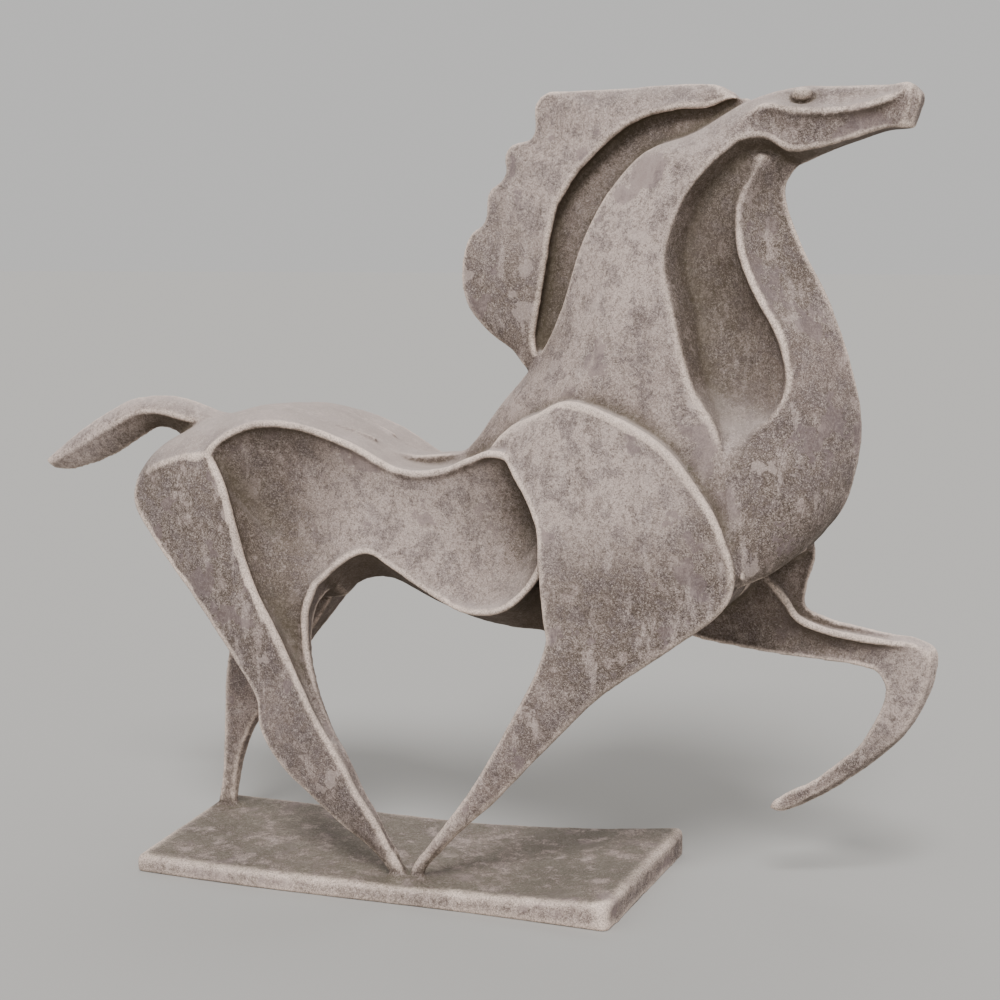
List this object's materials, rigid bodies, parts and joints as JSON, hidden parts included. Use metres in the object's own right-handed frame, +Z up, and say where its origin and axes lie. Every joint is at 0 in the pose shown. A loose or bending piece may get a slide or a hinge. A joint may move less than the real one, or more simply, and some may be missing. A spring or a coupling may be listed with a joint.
{
  "type": "horse statue",
  "caption": "Stylised stone statuette of a prancing horse with swept planes, hollowed flanks and an upright mane, carved in one with a thin plinth.",
  "frame": {"origin": "on the plinth's flat underside, under the middle of the horse's stance and in the horse's median plane", "axes": "+Z up, +X towards the head, -Y the side with the planted foreleg"},
  "size_m": [0.4898, 0.1348, 0.4034],
  "materials": {
    "weathered_stone": "matt weathered grey-brown stone, paler on worn ridges and greener in hollows"
  },
  "bodies": {
    "root": {"horse_statue": "weathered_stone"}
  },
  "joints": []
}
